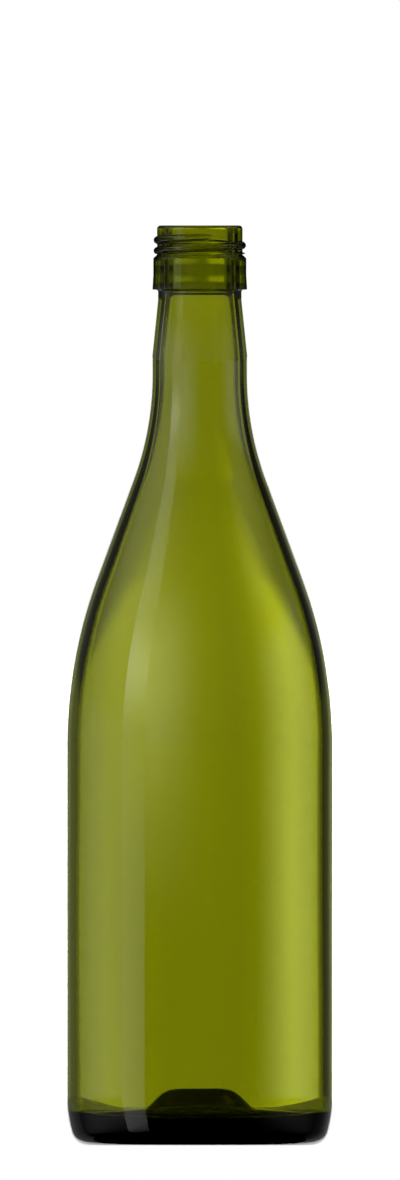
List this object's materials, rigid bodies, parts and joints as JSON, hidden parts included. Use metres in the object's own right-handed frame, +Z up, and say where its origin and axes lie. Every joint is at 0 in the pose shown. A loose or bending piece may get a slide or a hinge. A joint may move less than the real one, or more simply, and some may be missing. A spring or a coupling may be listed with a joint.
{
  "type": "wine bottle",
  "caption": "Empty burgundy-shaped wine bottle of olive-green glass with sloping shoulders, screw finish, ring below the thread and a push-up in its foot.",
  "frame": {"origin": "centre of the foot, in the plane that the bottle stands on", "axes": "+Z up the bottle's axis to its mouth; -Y is the front, where the upper end of the thread runs out; +X is to the right of it"},
  "size_m": [0.082, 0.0818, 0.282],
  "materials": {
    "green_glass": "clear olive-green glass, fire-polished"
  },
  "bodies": {
    "root": {"bottle": "green_glass"}
  },
  "joints": []
}
